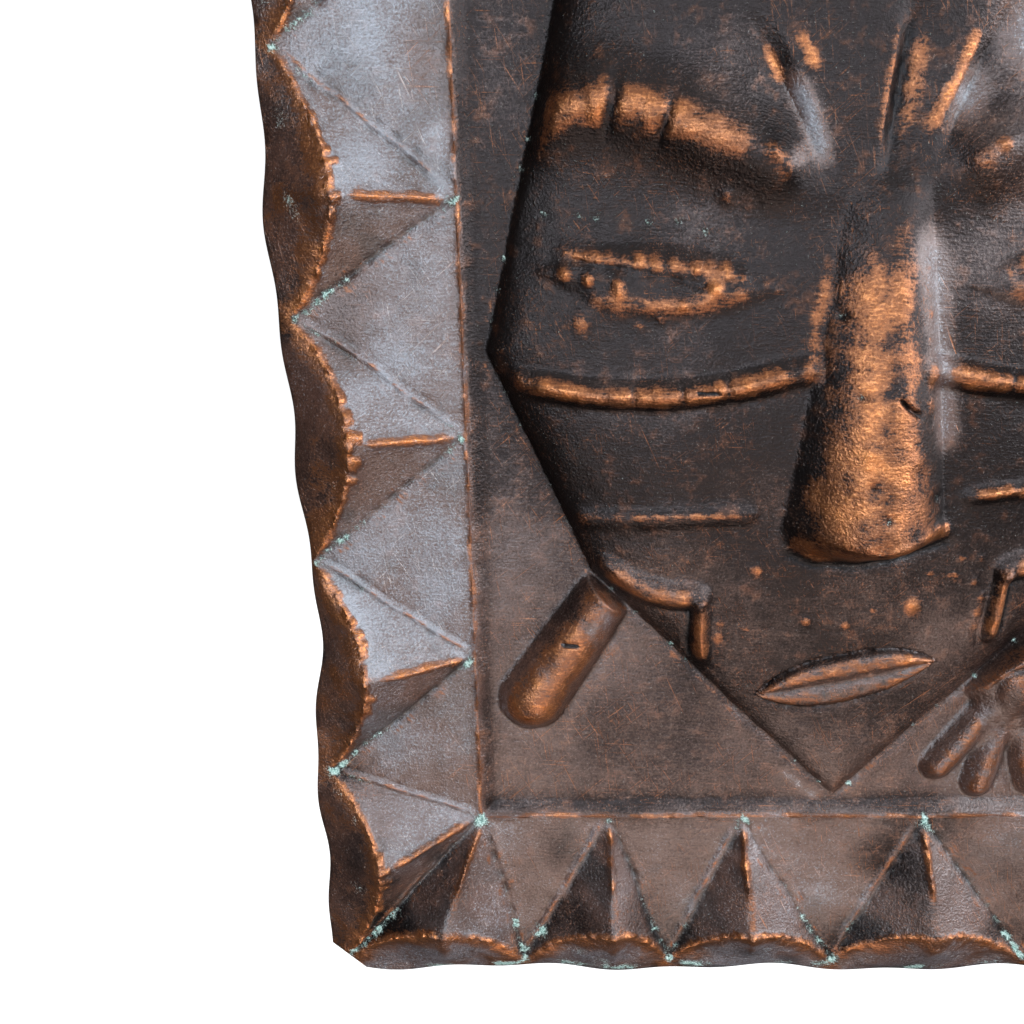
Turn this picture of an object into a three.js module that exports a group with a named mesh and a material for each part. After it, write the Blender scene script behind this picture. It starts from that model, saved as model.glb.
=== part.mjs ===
// Relief plaque: one sheet of copper, beaten up from behind into a stylised mask inside a toothed border.
// Millimetres, +Z up. The front faces -Y, the back lies on the wall at y = 0.
// The origin is on the back of the flat strip above the mask's crown, where the plaque is fixed.
// Heights are worked out over the panel: x from its middle, z from its bottom line.

import * as THREE from "three";

// ---- driving sizes
const SHEET = 0.7; // thickness of the copper
const PANEL_HALF = 82; // half the panel's width
const PANEL_TALL = 248;
const SIDE_BORDER = 38; // width of the border, left and right
const END_BORDER = 44; // width of the border, top and bottom
const MOUNT_UP = 239; // the origin, above the panel's bottom line

// ---- heights above the flat ground round the mask, whose back lies on the wall
const LINE_HIGH = 2.2; // the line between panel and border
const LINE_FALL = 2.6; // how far in from that line the ground is flat again
const NOTCH_HIGH = 0.8; // the outer end of each notch
const TOOTH_HIGH = 10.5; // the top of each border tooth

// ---- the mask: eyes at half, nose base at a quarter and mouth at an eighth of the head's height
const CHIN = 4;
const HEAD_TALL = 240;
const EYE_LINE = CHIN + HEAD_TALL / 2;
const NOSE_BASE = CHIN + HEAD_TALL / 4;
const MOUTH_LINE = CHIN + HEAD_TALL / 8;
const CROWN = 230; // where the outline is cut flat
const OUTLINE = [
  [0, CHIN],
  [56, 61],
  [77.5, 110],
  [56, 203],
  [34, CROWN],
  [0, CROWN],
];

const { abs, cos, exp, hypot, max, min, sin, PI } = Math;
const clamp = (value) => min(1, max(0, value));
const mix = (a, b, share) => a + (b - a) * share;
const ease = (from, to, value) => {
  const t = clamp((value - from) / (to - from));
  return t * t * (3 - 2 * t);
};
const hump = (distance, half) => exp(-((distance / half) ** 2));
// 1 on a line and 0 from its foot on
const swell = (distance, foot) => clamp(1 - (distance / foot) ** 2) ** 1.5;

// ---- paths: lists of [x, z] points

// A path along z = height(x), from one x to another.
function arc(fromX, toX, height, steps = 8) {
  return Array.from({ length: steps + 1 }, (_, i) => {
    const x = mix(fromX, toX, i / steps);
    return [x, height(x)];
  });
}

// The distance from a point to a path, how far along it the nearest place is, from 0 to 1, and whether the
// point lies to the left of the path.
function near(x, z, path) {
  let best = { distance: Infinity, along: 0, left: false };
  for (let i = 0; i + 1 < path.length; i++) {
    const [ax, az] = path[i];
    const [bx, bz] = path[i + 1];
    const [dx, dz] = [bx - ax, bz - az];
    const t = clamp(((x - ax) * dx + (z - az) * dz) / (dx * dx + dz * dz));
    const distance = hypot(x - ax - t * dx, z - az - t * dz);
    const left = dx * (z - az) > dz * (x - ax);
    if (distance < best.distance) best = { distance, along: (i + t) / (path.length - 1), left };
  }
  return best;
}

// ---- the border: teeth between notches, one row for each side
// A row is measured along (u) and outwards from the panel's line (v).

const NOTCH_OUT = 0.93; // how far out a notch ends, as a share of the border's width
const CREST_OUT = 0.64; // how far out a tooth's crest ends
const CREST_CURVE = 1.7; // 1 gives straight edges from crest to notch, 2 rounder ones
const CORNER_CUT = 7; // the sheet's corners are cut off by this much

// The teeth are set out by eye, so their spacing varies: where each starts on the line (apex),
// where its crest ends, and the notch after it.
const SIDE_TEETH = [
  [0, -11, 11.5],
  [41, 38.5, 64],
  [92, 92.5, 118],
  [141, 142.5, 170.5],
  [196, 197, 224],
  [PANEL_TALL, PANEL_TALL + 12, PANEL_TALL + NOTCH_OUT * END_BORDER],
];
const END_TEETH = [
  [-PANEL_HALF, -92, -73],
  [-52, -51, -37.5],
  [-21, -18.5, 2],
  [21, 24, 48.5],
  [66, 67, 82],
  [PANEL_HALF, 95, PANEL_HALF + NOTCH_OUT * SIDE_BORDER],
];

function toothRow(width, start, table) {
  const teeth = table.map(([apex, crest, to], i) => ({ apex, crest, to, from: i ? table[i - 1][2] : start }));
  return { width, out: NOTCH_OUT * width, crestOut: CREST_OUT * width, teeth };
}

const SIDE_ROW = toothRow(SIDE_BORDER, -NOTCH_OUT * END_BORDER, SIDE_TEETH);
const END_ROW = toothRow(END_BORDER, -PANEL_HALF - NOTCH_OUT * SIDE_BORDER, END_TEETH);

// The height at (u, v) of the plane through three points [u, v, height].
function plane(u, v, a, b, c) {
  const [bu, bv, bh] = b.map((value, i) => value - a[i]);
  const [cu, cv, ch] = c.map((value, i) => value - a[i]);
  const [pu, pv] = [u - a[0], v - a[1]];
  const area = bu * cv - bv * cu;
  return a[2] + ((pu * cv - pv * cu) * bh + (bu * pv - bv * pu) * ch) / area;
}

// A tooth is a roof of two flat faces that meet in its crest; between teeth lies a flat triangle.
function toothHeight(row, u, v) {
  const flat = mix(LINE_HIGH, NOTCH_HIGH, v / row.out);
  const roofs = row.teeth.map(({ from, to, apex, crest }) => {
    const top = [apex, 0, LINE_HIGH];
    const end = [crest, row.crestOut, TOOTH_HIGH];
    const left = plane(u, v, top, [from, row.out, NOTCH_HIGH], end);
    const right = plane(u, v, top, [to, row.out, NOTCH_HIGH], end);
    return min(left, right);
  });
  return max(flat, ...roofs);
}

// How far out the teeth turn down into the skirt, at u.
function brinkOut(row, u) {
  const tooth = row.teeth.find(({ to }) => u <= to) ?? row.teeth.at(-1);
  const { from, to, crest } = tooth;
  const away = u < crest ? (crest - u) / (crest - from) : (u - crest) / (to - crest);
  return mix(row.crestOut, row.out, clamp(away) ** CREST_CURVE);
}

// The sheet's own edge, cut by hand: bowed in a little along the sides, and wavy.
function edgeOut(row, u) {
  const bow = row === SIDE_ROW ? 1 - 3.2 * hump(u - 58, 35) : 0;
  return row.width + bow + 0.7 * sin(u / 9.5) + 0.5 * sin(u / 4.3 + 1);
}

function borderHeight(row, u, v) {
  const brink = brinkOut(row, u);
  if (v <= brink) return toothHeight(row, u, v);
  const down = clamp((v - brink) / (edgeOut(row, u) - brink));
  return toothHeight(row, u, brink) * (1 - down ** 1.15);
}

// A point of the border as its row and the place in it. Corners are shared along their diagonals.
function borderPlace(x, z) {
  const sideways = abs(x) - PANEL_HALF;
  const endways = max(-z, z - PANEL_TALL);
  if (sideways / SIDE_BORDER > endways / END_BORDER) return [SIDE_ROW, z, sideways];
  return [END_ROW, x, endways];
}

// ---- the mask

// How far a point is inside the mask's outline; negative outside.
function maskInset(x, z) {
  const side = abs(x);
  const insets = OUTLINE.slice(1).map(([bx, bz], i) => {
    const [ax, az] = OUTLINE[i];
    return ((bx - ax) * (z - az) - (bz - az) * (side - ax)) / hypot(bx - ax, bz - az);
  });
  return min(...insets);
}

// The lower face is set a little askew: right of the middle it sits higher.
const SKEW = 0.09;
const upright = (x, z) => z - SKEW * x * (1 - ease(70, 100, z));

function maskBase(x, z, inset) {
  const rise = mix(2, 4.4, ease(15, 90, z));
  const dome = 6 * (1 - (x / 88) ** 2) * ease(-5, 95, z) * (1 - exp(-inset / 24));
  return rise * (1 - exp(-inset / 3.2)) + dome;
}

// Ridges on the right half; the left half mirrors them. Each has a path, the distance to its foot and a
// height. Those on the lower face follow its skew.
const BROW = {
  path: arc(15, 66, (x) => 158 - 16 * abs((54 - x) / 39) ** 1.35),
  above: 11,
  below: 9.5,
  high: 4.4,
};
const RIDGES = [
  { path: arc(13, 71, (x) => 101 + 5 * ((x - 45) / 33) ** 2), foot: 3.6, high: 1.9 },
  { path: arc(23, 59, (x) => 77 + 0.04 * (x - 23), 4), foot: 2.6, high: 1, skewed: true },
  { path: arc(33, 53, (x) => 59 + 0.02 * (x - 33) ** 2, 4), foot: 3.8, high: 2.2, skewed: true },
  { path: [[32, 57], [31.2, 43]], foot: 2.4, high: 1.8, skewed: true },
  { path: arc(0, 58, (x) => 192 - 0.003 * x * x, 6), foot: 5, high: 2.4 },
];

const EYE = { x: 42, z: EYE_LINE, half: 24.5, tall: 7.4, slope: 0.09 };
const LIPS = { x: 0.5, z: MOUTH_LINE + 1.6, half: 19.5, tall: 6.2, slope: 0.22 };

// Where a point lies in a lens shape: across is 0 at its middle line and 1 at its edge, and full is 1 in its
// middle and 0 at its tips. It is null outside the lens.
function lensPlace({ x: cx, z: cz, half, tall, slope }, x, z) {
  const open = 1 - ((x - cx) / half) ** 2;
  const across = abs(z - cz - slope * (x - cx)) / (tall * open);
  return open > 0 && across < 1 ? { across, full: open ** 0.6 } : null;
}

function eyeHeight(side, z) {
  const socket = 2.4 * exp(-(((side - 42) / 30) ** 2) - ((z - 137) / 13) ** 2);
  const place = lensPlace(EYE, side, z);
  const ball = place ? 2 * place.full * (1 - place.across ** 2) : 0;
  return ball - socket;
}

// The nose is a wedge. Its crest runs right of its middle, so its left face is the wider one.
const NOSE = { crest: 4, top: 146, left: [9.5, 21], right: [5, 15], high: [2, 11.5] };

function noseHeight(x, z) {
  const out = x - NOSE.crest;
  const down = clamp((NOSE.top - z) / (NOSE.top - NOSE_BASE));
  const across = abs(out) / mix(...(out < 0 ? NOSE.left : NOSE.right), down);
  const foot = NOSE_BASE + 2.2 + 5 * ((out + 2.5) / 18) ** 2;
  if (across >= 1 || z > NOSE.top || z < foot - 2) return 0;
  const crest = mix(...NOSE.high, down ** 1.2) * ease(foot - 2, foot + 4, z);
  return crest * (1 - across ** 1.7) * ease(0, 0.12, down);
}

function mouthHeight(x, z) {
  const place = lensPlace(LIPS, x, z);
  return place ? place.full ** 0.5 * (1.9 * (1 - place.across ** 6) - 0.8 * hump(place.across, 0.22)) : 0;
}

// Furrows fan out from the bridge of the nose: V-shaped cuts, steep on one side and gentle on the other.
const FURROWS = [
  { path: [[-8.5, 140], [-26, 174]], depth: 2.2, left: 7, right: 3.2 },
  { path: [[0.6, 141], [4.5, 175]], depth: 2.8, left: 2.4, right: 8 },
  { path: [[10, 144], [22, 174]], depth: 2, left: 3, right: 7 },
];

function furrowHeight(x, z) {
  return FURROWS.reduce((sum, { path, depth, left, right }) => {
    const spot = near(x, z, path);
    const open = max(0, sin(PI * spot.along)) ** 0.6;
    return sum - depth * open * clamp(1 - spot.distance / (spot.left ? left : right));
  }, 0);
}

function maskHeight(x, z, inset) {
  const side = abs(x);
  const brow = near(side, z, BROW.path);
  const raised = RIDGES.reduce((sum, { path, foot, high, skewed }) => {
    return sum + high * swell(near(side, skewed ? upright(x, z) : z, path).distance, foot);
  }, BROW.high * swell(brow.distance, brow.left ? BROW.above : BROW.below));
  const features = raised + eyeHeight(side, z) + noseHeight(x, z) + mouthHeight(x, z) + furrowHeight(x, z);
  return maskBase(x, z, inset) + ease(0, 5, inset) * features;
}

// ---- the drops that hang beside the jaw: a plain one on the left, one ending in three strands on the right
// A drop has an axis and a radius at each end of it.
const PLAIN_DROP = { axis: [[-54, 53], [-68.3, 31]], radii: [4.6, 7.4], high: 6.2 };
const BULB = { axis: [[50, 47], [42, 36]], radii: [9, 12], high: 6.5 };
const STRANDS = [
  [23.5, 12],
  [33, 7.5],
  [45, 8],
].map((tip) => ({ axis: [[39, 33], tip], radii: [4.6, 3.6], high: 3.6 }));
const DROPS = [PLAIN_DROP, BULB, ...STRANDS];

function dropHeight(x, z, drops = DROPS) {
  const heights = drops.map(({ axis, radii, high }) => {
    const { distance, along } = near(x, z, axis);
    return high * (1 - min(1, distance / mix(...radii, along)) ** 2.2);
  });
  return max(...heights);
}

// ---- the whole front

function relief(x, z) {
  const margin = min(PANEL_HALF - abs(x), z, PANEL_TALL - z);
  if (margin <= 0) return borderHeight(...borderPlace(x, z));
  const inset = maskInset(x, z);
  if (inset >= 0) return maskHeight(x, z, inset);
  const line = LINE_HIGH * (1 - ease(0, LINE_FALL, margin));
  return max(line, ease(0, 4, -inset) * dropHeight(x, z));
}

// ---- where the front has vertices: on the sheet's edge, along every fold, and spread between them

// The sheet's edge, anticlockwise as seen from the front.
function sheetEdge(step) {
  const tall = PANEL_TALL / 2 + END_BORDER - CORNER_CUT;
  const wide = PANEL_HALF + SIDE_BORDER - CORNER_CUT;
  const steps = (half) => Math.round((2 * half) / step);
  const side = arc(-tall, tall, (up) => PANEL_HALF + edgeOut(SIDE_ROW, up + PANEL_TALL / 2), steps(tall));
  const end = arc(-wide, wide, (x) => edgeOut(END_ROW, x), steps(wide));
  return [
    ...end.map(([x, out]) => [x, -out]),
    ...side.map(([up, x]) => [x, up + PANEL_TALL / 2]),
    ...end.toReversed().map(([x, out]) => [x, PANEL_TALL + out]),
    ...side.toReversed().map(([up, x]) => [-x, up + PANEL_TALL / 2]),
  ];
}

function insideEdge(x, z, margin) {
  const [row, u, v] = borderPlace(x, z);
  const sideways = abs(x) - PANEL_HALF - SIDE_BORDER;
  const endways = max(-z, z - PANEL_TALL) - END_BORDER;
  return v < edgeOut(row, u) - margin && sideways + endways < -CORNER_CUT - margin;
}

const EDGE = sheetEdge(6.2);
const points = [...EDGE];

// Adds a point unless another is nearer than room.
function put([x, z], room) {
  if (!insideEdge(x, z, 0.8)) return;
  if (points.every(([px, pz]) => hypot(px - x, pz - z) >= room)) points.push([x, z]);
}

// Points along a path, or along lines beside it, at equal steps, where they are wanted.
function putAlong(path, step, offsets = [0], room = 0.5 * step, wanted = () => true) {
  for (const offset of offsets) {
    for (let i = 0; i + 1 < path.length; i++) {
      const [ax, az] = path[i];
      const [bx, bz] = path[i + 1];
      const length = hypot(bx - ax, bz - az);
      const count = max(1, Math.round(length / step));
      for (let k = 0; k <= count; k++) {
        const x = mix(ax, bx, k / count) - (offset * (bz - az)) / length;
        const z = mix(az, bz, k / count) + (offset * (bx - ax)) / length;
        if (wanted([x, z])) put([x, z], room);
      }
    }
  }
}

// Points along a straight fold, closer together towards its ends, where folds meet.
const FOLD_SHARES = [0, 1, 0.1, 0.93, 0.2, 0.85, 0.36, 0.7, 0.53];
function putFold([ax, az], [bx, bz]) {
  for (const share of FOLD_SHARES) put([mix(ax, bx, share), mix(az, bz, share)], 1.7);
}

// A path on both halves of the mask, following the skew of the lower face.
function putPair(path, step, offsets, room) {
  for (const sign of [1, -1]) {
    putAlong(path.map(([x, z]) => [sign * x, z + (z - upright(sign * x, z))]), step, offsets, room);
  }
}

// The two edges of a lens, narrowed or widened by a share.
function lensEdges({ x: cx, z: cz, half, tall, slope }, share) {
  const reach = 0.97 * half;
  return [1, -1].map((way) => {
    const edge = (x) => cz + slope * (x - cx) + way * share * tall * (1 - ((x - cx) / half) ** 2);
    return arc(cx - reach, cx + reach, edge, 10);
  });
}

// The outline of a drop, narrowed or widened by a share.
function dropEdge({ axis: [[ax, az], [bx, bz]], radii }, share) {
  const along = Math.atan2(bz - az, bx - ax);
  return Array.from({ length: 14 }, (_, i) => {
    const turn = (i + 0.5) * (PI / 7);
    const ahead = cos(turn) > 0;
    const radius = share * radii[ahead ? 1 : 0];
    return [
      (ahead ? bx : ax) + radius * cos(turn + along),
      (ahead ? bz : az) + radius * sin(turn + along),
    ];
  });
}

// Where drops overlap, only the uppermost one gets points.
function putDrops() {
  for (const drop of DROPS) {
    const upper = ([x, z]) => maskInset(x, z) < -0.5 && dropHeight(x, z, [drop]) > dropHeight(x, z) - 0.3;
    putAlong(drop.axis, 4, [0], 1.5, upper);
    for (const share of [1.02, 0.6]) {
      const ring = dropEdge(drop, share);
      putAlong([...ring, ring[0]], 3.4, [0], 1.4, upper);
    }
  }
}

// A row of teeth laid out: the folds to each notch, each crest and the brink of the skirt.
function putTeeth(row, place) {
  for (const { from, to, apex, crest } of row.teeth) {
    const top = place(apex, 0);
    for (const end of [[crest, row.crestOut], [from, row.out], [to, row.out]]) putFold(top, place(...end));
    putAlong(arc(from, to, (u) => brinkOut(row, u), 10).map(([u, v]) => place(u, v)), 6, [0], 1.8);
  }
}

function putBorder() {
  const rows = [1, -1].flatMap((sign) => [
    [SIDE_ROW, (u, v) => [sign * (PANEL_HALF + v), u]],
    [END_ROW, (u, v) => [u, sign > 0 ? -v : PANEL_TALL + v]],
  ]);
  for (const [row, place] of rows) row.teeth.forEach(({ apex }) => put(place(apex, 0), 1));
  for (const inset of [0, LINE_FALL]) {
    const [x, low, high] = [PANEL_HALF - inset, inset, PANEL_TALL - inset];
    putAlong([[-x, low], [x, low], [x, high], [-x, high], [-x, low]], 5.4, [0], 2.2);
  }
  for (const [row, place] of rows) putTeeth(row, place);
}

function putFace() {
  const foot = (rise) => arc(-16, 18, (x) => NOSE_BASE + rise + 5 * ((x - 1.5) / 18) ** 2, 8);
  [0.6, 6].forEach((rise) => putAlong(foot(rise), 4.4));
  for (const share of [0, -1, 1, -0.6, 0.55]) {
    const [high, low] = share < 0 ? NOSE.left : NOSE.right;
    const from = [NOSE.crest + high * share, NOSE.top - 2];
    const to = [NOSE.crest + 0.98 * low * share, NOSE_BASE + 7];
    putAlong([from, to], share ? 6 : 5);
  }
  for (const share of [1.05, 0.5, 0.03]) {
    lensEdges(LIPS, share).forEach((path) => putAlong(path, 4, [0], 1.7));
    lensEdges(EYE, share).forEach((path) => putPair(path, 4.8, [0], 2));
  }
  FURROWS.forEach(({ path, left, right }) => putAlong(path, 4.4, [0, left, -right], 1.6));
  putPair(BROW.path, 5, [0, 4, 9, -4, -BROW.below]);
  RIDGES.forEach(({ path, foot }) => putPair(path, 4.6, [0, foot, -foot], 1.8));
}

function putOutline() {
  for (const sign of [1, -1]) putAlong(OUTLINE.map(([x, z]) => [sign * x, z]), 4.4, [0, 3.2 * sign]);
}

// A staggered grid fills the rest of the mask. Its points are nudged, so that no four lie on one circle.
function putGrid(step) {
  for (let row = 0; row * step * 0.87 < PANEL_TALL; row++) {
    for (let column = 0; column * step < 2 * PANEL_HALF; column++) {
      const nudge = sin(row * 12.9 + column * 78.2);
      const x = (column + (row % 2) / 2 + 0.5) * step - PANEL_HALF + 0.3 * nudge;
      const z = (row + 0.5) * step * 0.87 + 0.3 * sin(nudge * 57);
      if (maskInset(x, z) > 0) put([x, z], 0.62 * step);
    }
  }
}

putBorder();
putOutline();
putDrops();
putFace();
putGrid(7);

// ---- triangles, by adding one point after another and joining it to the hole it opens (Bowyer-Watson)

function circumscribed(all, a, b, c) {
  const [ax, az] = all[a];
  const [bx, bz] = [all[b][0] - ax, all[b][1] - az];
  const [cx, cz] = [all[c][0] - ax, all[c][1] - az];
  const twice = 2 * (bx * cz - bz * cx);
  const [bb, cc] = [bx * bx + bz * bz, cx * cx + cz * cz];
  const x = (cz * bb - bz * cc) / twice;
  const z = (bx * cc - cx * bb) / twice;
  return { corners: [a, b, c], x: ax + x, z: az + z, radius: hypot(x, z) };
}

function triangulate(list) {
  const far = 1e4;
  const count = list.length;
  const all = [...list, [-far, -far], [far, -far], [0, far]];
  let found = [circumscribed(all, count, count + 1, count + 2)];
  list.forEach(([x, z], index) => {
    const open = new Map();
    found = found.filter((t) => {
      if (hypot(x - t.x, z - t.z) >= t.radius) return true;
      t.corners.forEach((from, i) => {
        const to = t.corners[(i + 1) % 3];
        if (!open.delete(to + "-" + from)) open.set(from + "-" + to, [from, to]);
      });
      return false;
    });
    for (const [from, to] of open.values()) found.push(circumscribed(all, from, to, index));
  });
  return found.map((t) => t.corners).filter((corners) => corners.every((i) => i < count));
}

const isOnSheet = (corners) => {
  const x = corners.reduce((sum, i) => sum + points[i][0], 0) / 3;
  const z = corners.reduce((sum, i) => sum + points[i][1], 0) / 3;
  return insideEdge(x, z, 0.2) || corners.some((i) => i >= EDGE.length);
};
const triangles = triangulate(points).filter(isOnSheet);

// ---- the solid: the front, the back a sheet's thickness behind it, and the cut edge between them

const heights = points.map(([x, z], i) => (i < EDGE.length ? 0 : relief(x, z)));

// The mean of the slopes' lengths round each vertex: a sloping sheet is thicker straight through.
function steepness() {
  const sums = points.map(() => [0, 0]);
  for (const corners of triangles) {
    const [a, b, c] = corners.map((i) => new THREE.Vector3(points[i][0], points[i][1], heights[i]));
    const normal = b.sub(a).cross(c.sub(a));
    const slant = normal.length() / normal.z;
    for (const i of corners) {
      sums[i][0] += slant;
      sums[i][1] += 1;
    }
  }
  return sums.map(([sum, count]) => sum / count);
}

function plaqueGeometry() {
  const slant = steepness();
  const count = points.length;
  const front = points.map(([x, z], i) => [x, -(SHEET + heights[i]), z - MOUNT_UP]);
  const back = front.map(([x, y, z], i) => [x, min(0, y + SHEET * min(slant[i], 2)), z]);
  const faces = triangles.flatMap(([a, b, c]) => [a, b, c, a + count, c + count, b + count]);
  const sides = new Map();
  for (const corners of triangles) {
    corners.forEach((from, i) => {
      const to = corners[(i + 1) % 3];
      if (!sides.delete(to + "-" + from)) sides.set(from + "-" + to, [from, to]);
    });
  }
  for (const [from, to] of sides.values()) faces.push(from, to + count, to, from, from + count, to + count);
  const geometry = new THREE.BufferGeometry();
  geometry.setAttribute("position", new THREE.Float32BufferAttribute([...front, ...back].flat(), 3));
  geometry.setIndex(faces);
  return geometry;
}

const plaque = new THREE.Group();
const copper = new THREE.MeshStandardMaterial({ color: 0x5a3a2c, roughness: 0.42, metalness: 0.9 });
const sheet = new THREE.Mesh(plaqueGeometry(), copper);
sheet.name = "copper_plaque";
plaque.add(sheet);

export default plaque;
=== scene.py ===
"""Looks of the relief plaque: one sheet of copper, chased, patinated and rubbed bright.

Relief is worked out in millimetres over the panel: x from its middle, z from its bottom line,
height out of the wall. The sheet is then turned into one mesh with a front, a back and
a rim, in metres, in the frame of the CAD part.
"""

from functools import partial, reduce
from math import hypot, pi, radians

import bpy
import numpy as np
from mathutils import Matrix, Vector, geometry


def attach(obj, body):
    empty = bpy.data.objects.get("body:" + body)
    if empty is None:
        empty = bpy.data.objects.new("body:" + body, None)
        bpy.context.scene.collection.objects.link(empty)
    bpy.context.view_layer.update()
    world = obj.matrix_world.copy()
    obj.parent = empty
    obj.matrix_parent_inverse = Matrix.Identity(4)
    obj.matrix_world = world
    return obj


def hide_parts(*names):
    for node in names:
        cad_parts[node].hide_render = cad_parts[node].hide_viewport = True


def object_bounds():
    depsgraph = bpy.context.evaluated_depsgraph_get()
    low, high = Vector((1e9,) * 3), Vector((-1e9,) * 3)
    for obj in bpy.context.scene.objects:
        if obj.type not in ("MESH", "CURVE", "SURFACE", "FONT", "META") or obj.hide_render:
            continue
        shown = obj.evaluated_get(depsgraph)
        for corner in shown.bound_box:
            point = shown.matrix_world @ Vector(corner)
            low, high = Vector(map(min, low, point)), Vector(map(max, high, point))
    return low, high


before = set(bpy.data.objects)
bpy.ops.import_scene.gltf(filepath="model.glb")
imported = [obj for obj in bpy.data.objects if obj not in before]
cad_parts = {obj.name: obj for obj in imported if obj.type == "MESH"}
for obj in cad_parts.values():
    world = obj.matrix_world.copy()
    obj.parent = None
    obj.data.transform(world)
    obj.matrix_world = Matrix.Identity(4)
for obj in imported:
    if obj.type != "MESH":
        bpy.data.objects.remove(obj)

cad_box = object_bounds()

MM = 0.001
scene = bpy.context.scene


def add_object(name, data):
    made = bpy.data.objects.new(name, data)
    scene.collection.objects.link(made)
    return made


# ---- sizes of the sheet in mm, as in the solid

SHEET = 0.7  # thickness
PANEL_HALF = 82  # half the panel's width
PANEL_TALL = 248
SIDE_BORDER = 38  # from the panel's line to the sheet's edge
END_BORDER = 44
MOUNT_UP = 239  # the part's origin, above the panel's bottom line

LINE_HIGH = 2.2  # the panel's line, and how far inwards it falls to the ground
LINE_FALL = 2.6
NOTCH_HIGH = 0.8  # where teeth meet on the brink
TOOTH_HIGH = 10.5  # a tooth's crest on the brink

CHIN = 4
HEAD_TALL = 240
EYE_LINE = CHIN + HEAD_TALL / 2
NOSE_BASE = CHIN + HEAD_TALL / 4
MOUTH_LINE = CHIN + HEAD_TALL / 8
CROWN = 230
OUTLINE = [(0, CHIN), (56, 61), (77.5, 110), (56, 203), (34, CROWN), (0, CROWN)]


def mix(a, b, share):
    return a + (b - a) * share


def ease(low, high, value):
    """0 up to low, 1 from high on, and a smooth step between them."""
    t = np.clip((value - low) / (high - low), 0, 1)
    return t * t * (3 - 2 * t)


def hump(distance, half):
    """A bell: 1 at distance 0."""
    return np.exp(-((distance / half) ** 2))


def swell(distance, foot):
    """1 on a line and 0 from its foot on."""
    return np.clip(1 - (distance / foot) ** 2, 0, 1) ** 1.5


def smooth_min(a, b, soft):
    return 0.5 * (a + b - np.sqrt((a - b) ** 2 + soft * soft))


def smooth_max(a, b, soft):
    return 0.5 * (a + b + np.sqrt((a - b) ** 2 + soft * soft))


# ---- the grid on which the relief is worked out

CELL = 0.4  # finest spacing of points
BLOCK = 8  # the coarsest cell holds this many fine ones a side
COLUMNS, ROWS = 77 * BLOCK, 107 * BLOCK
LEFT, LOW = -COLUMNS * CELL / 2, -ROWS * CELL / 2 + PANEL_TALL / 2
X, Z = np.meshgrid(LEFT + CELL * np.arange(COLUMNS + 1), LOW + CELL * np.arange(ROWS + 1))


def filtered(field, spread, stretch=(1, 1)):
    """The field through a Gaussian filter, which wraps round at the edges."""
    fz = np.fft.fftfreq(field.shape[0], CELL)[:, None] * stretch[1]
    fx = np.fft.rfftfreq(field.shape[1], CELL)[None, :] * stretch[0]
    soft = np.exp(-2 * spread**2 * (fx * fx + fz * fz))
    return np.fft.irfft2(np.fft.rfft2(field) * soft, s=field.shape)


def blur(field, size):
    """The field smoothed over that size. Past the grid's edge it counts as 0."""
    pad = int(4 * size / CELL) + 1
    out = filtered(np.pad(field, pad), pi * size)
    return out[pad : pad + field.shape[0], pad : pad + field.shape[1]]


def noise(size, seed, stretch=(1, 1)):
    """Smooth random hills, about `size` mm wide, with mean 0 and deviation 1."""
    white = np.random.default_rng(seed).standard_normal(X.shape)
    out = filtered(white, pi * size / 2.5, stretch)
    return (out - out.mean()) / out.std()


def arc(start, end, height, steps=12):
    """Points (x, height(x)) from one x to another."""
    places = [mix(start, end, i / steps) for i in range(steps + 1)]
    return [(x, height(x)) for x in places]


def near(path, x=X, z=Z):
    """Distance to a path, how far along it the nearest point is, and the side: 1 left, -1 right."""
    best = np.full(np.shape(x), 1e9)
    along = np.zeros(np.shape(x))
    side = np.zeros(np.shape(x))
    done = 0
    for (ax, az), (bx, bz) in zip(path, path[1:]):
        dx, dz = bx - ax, bz - az
        length = hypot(dx, dz)
        t = np.clip(((x - ax) * dx + (z - az) * dz) / length**2, 0, 1)
        distance = np.hypot(x - ax - t * dx, z - az - t * dz)
        nearer = distance < best
        best = np.where(nearer, distance, best)
        along = np.where(nearer, done + t * length, along)
        side = np.where(nearer, np.sign(dx * (z - az) - dz * (x - ax)), side)
        done += length
    return best, along, side


def length_of(path):
    return sum(hypot(b[0] - a[0], b[1] - a[1]) for a, b in zip(path, path[1:]))


def window(path, reach):
    """The part of the grid within reach of a path."""
    (x0, z0), (x1, z1) = np.min(path, axis=0) - reach, np.max(path, axis=0) + reach
    i0, k0 = max(0, int((x0 - LEFT) / CELL)), max(0, int((z0 - LOW) / CELL))
    i1 = min(COLUMNS, int((x1 - LEFT) / CELL) + 1)
    k1 = min(ROWS, int((z1 - LOW) / CELL) + 1)
    return slice(k0, k1 + 1), slice(i0, i1 + 1)


# ---- the border

NOTCH_OUT = 0.93  # where notches and crests reach the brink, as shares of the border's width
CREST_OUT = 0.64
CREST_CURVE = 1.7  # how the brink curves between them
SKIRT_CURVE = 1.15
CORNER_CUT = 7
CREST_SOFT, FOLD_SOFT = 0.6, 0.35  # how rounded a crest is, and the fold at a tooth's foot

# For each tooth: its tip on the panel's line, its crest, and the notch after it.
SIDE_TEETH = [
    (0, -11, 11.5), (41, 38.5, 64), (92, 92.5, 118), (141, 142.5, 170.5), (196, 197, 224),
    (PANEL_TALL, PANEL_TALL + 12, PANEL_TALL + NOTCH_OUT * END_BORDER),
]
END_TEETH = [
    (-PANEL_HALF, -92, -73), (-52, -51, -37.5), (-21, -18.5, 2), (21, 24, 48.5), (66, 67, 82),
    (PANEL_HALF, 95, PANEL_HALF + NOTCH_OUT * SIDE_BORDER),
]


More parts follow.
